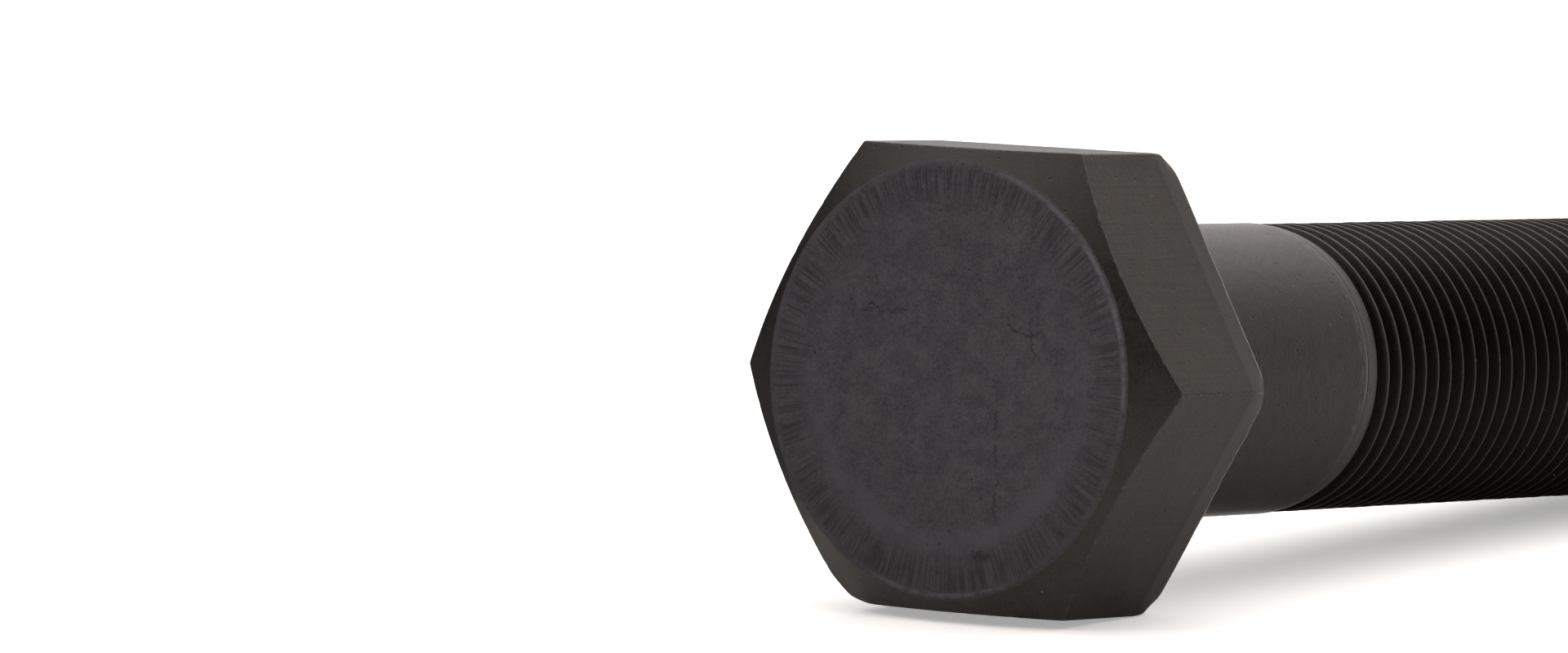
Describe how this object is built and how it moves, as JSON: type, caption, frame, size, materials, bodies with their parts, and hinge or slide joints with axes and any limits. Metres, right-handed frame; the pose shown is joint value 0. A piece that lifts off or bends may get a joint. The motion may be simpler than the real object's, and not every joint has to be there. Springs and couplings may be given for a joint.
{
  "type": "hex bolt",
  "caption": "Large black hexagon-head bolt with a chamfered head, washer face, filleted plain shank and a fine right-hand thread ending in a chamfered point.",
  "frame": {"origin": "centre of the bearing face under the head, on the shank axis", "axes": "+Y along the shank from the head towards the thread end; two wrench flats face +Z and -Z; +X to the right seen from the head"},
  "size_m": [0.0692, 0.175, 0.06],
  "materials": {
    "head_oxide": "satin black oxide over forged and trimmed steel",
    "shank_oxide": "satin black oxide over drawn steel",
    "thread_oxide": "satin black oxide over rolled thread"
  },
  "bodies": {
    "root": {"head_crown": "head_oxide", "hex_body": "head_oxide", "trim_band": "head_oxide", "washer_face": "head_oxide", "underhead_fillet": "shank_oxide", "plain_shank": "shank_oxide", "thread_shoulder": "shank_oxide", "threaded_shank": "thread_oxide", "chamfered_point": "thread_oxide"}
  },
  "joints": []
}
